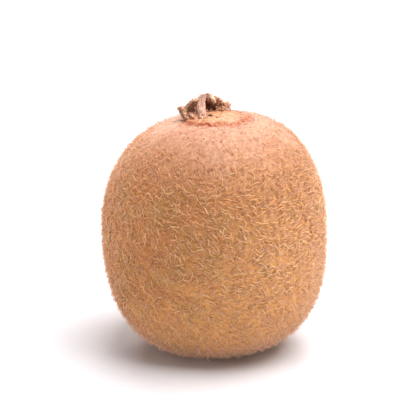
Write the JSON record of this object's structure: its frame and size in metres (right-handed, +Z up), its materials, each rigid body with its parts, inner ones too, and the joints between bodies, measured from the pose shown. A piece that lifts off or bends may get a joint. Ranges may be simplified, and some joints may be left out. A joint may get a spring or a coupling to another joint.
{
  "type": "kiwi fruit",
  "caption": "Whole fuzzy brown kiwi fruit standing on its blossom end, with a pale stem scar and the curled remains of its calyx on top.",
  "frame": {"origin": "on the surface the fruit stands on, under the middle of its bounding box", "axes": "+Z up, from the blossom end to the stem end; -Y is the side that the calyx leaves open; +X to the right seen from there"},
  "size_m": [0.0514, 0.049, 0.0602],
  "materials": {
    "skin": "matte",
    "dried_calyx": "matte",
    "pale_stalk": "matte",
    "dried_styles": "matte"
  },
  "bodies": {
    "root": {"fruit": "skin", "calyx": "dried_calyx", "stalk_remnant": "pale_stalk", "style_tuft": "dried_styles"}
  },
  "joints": []
}
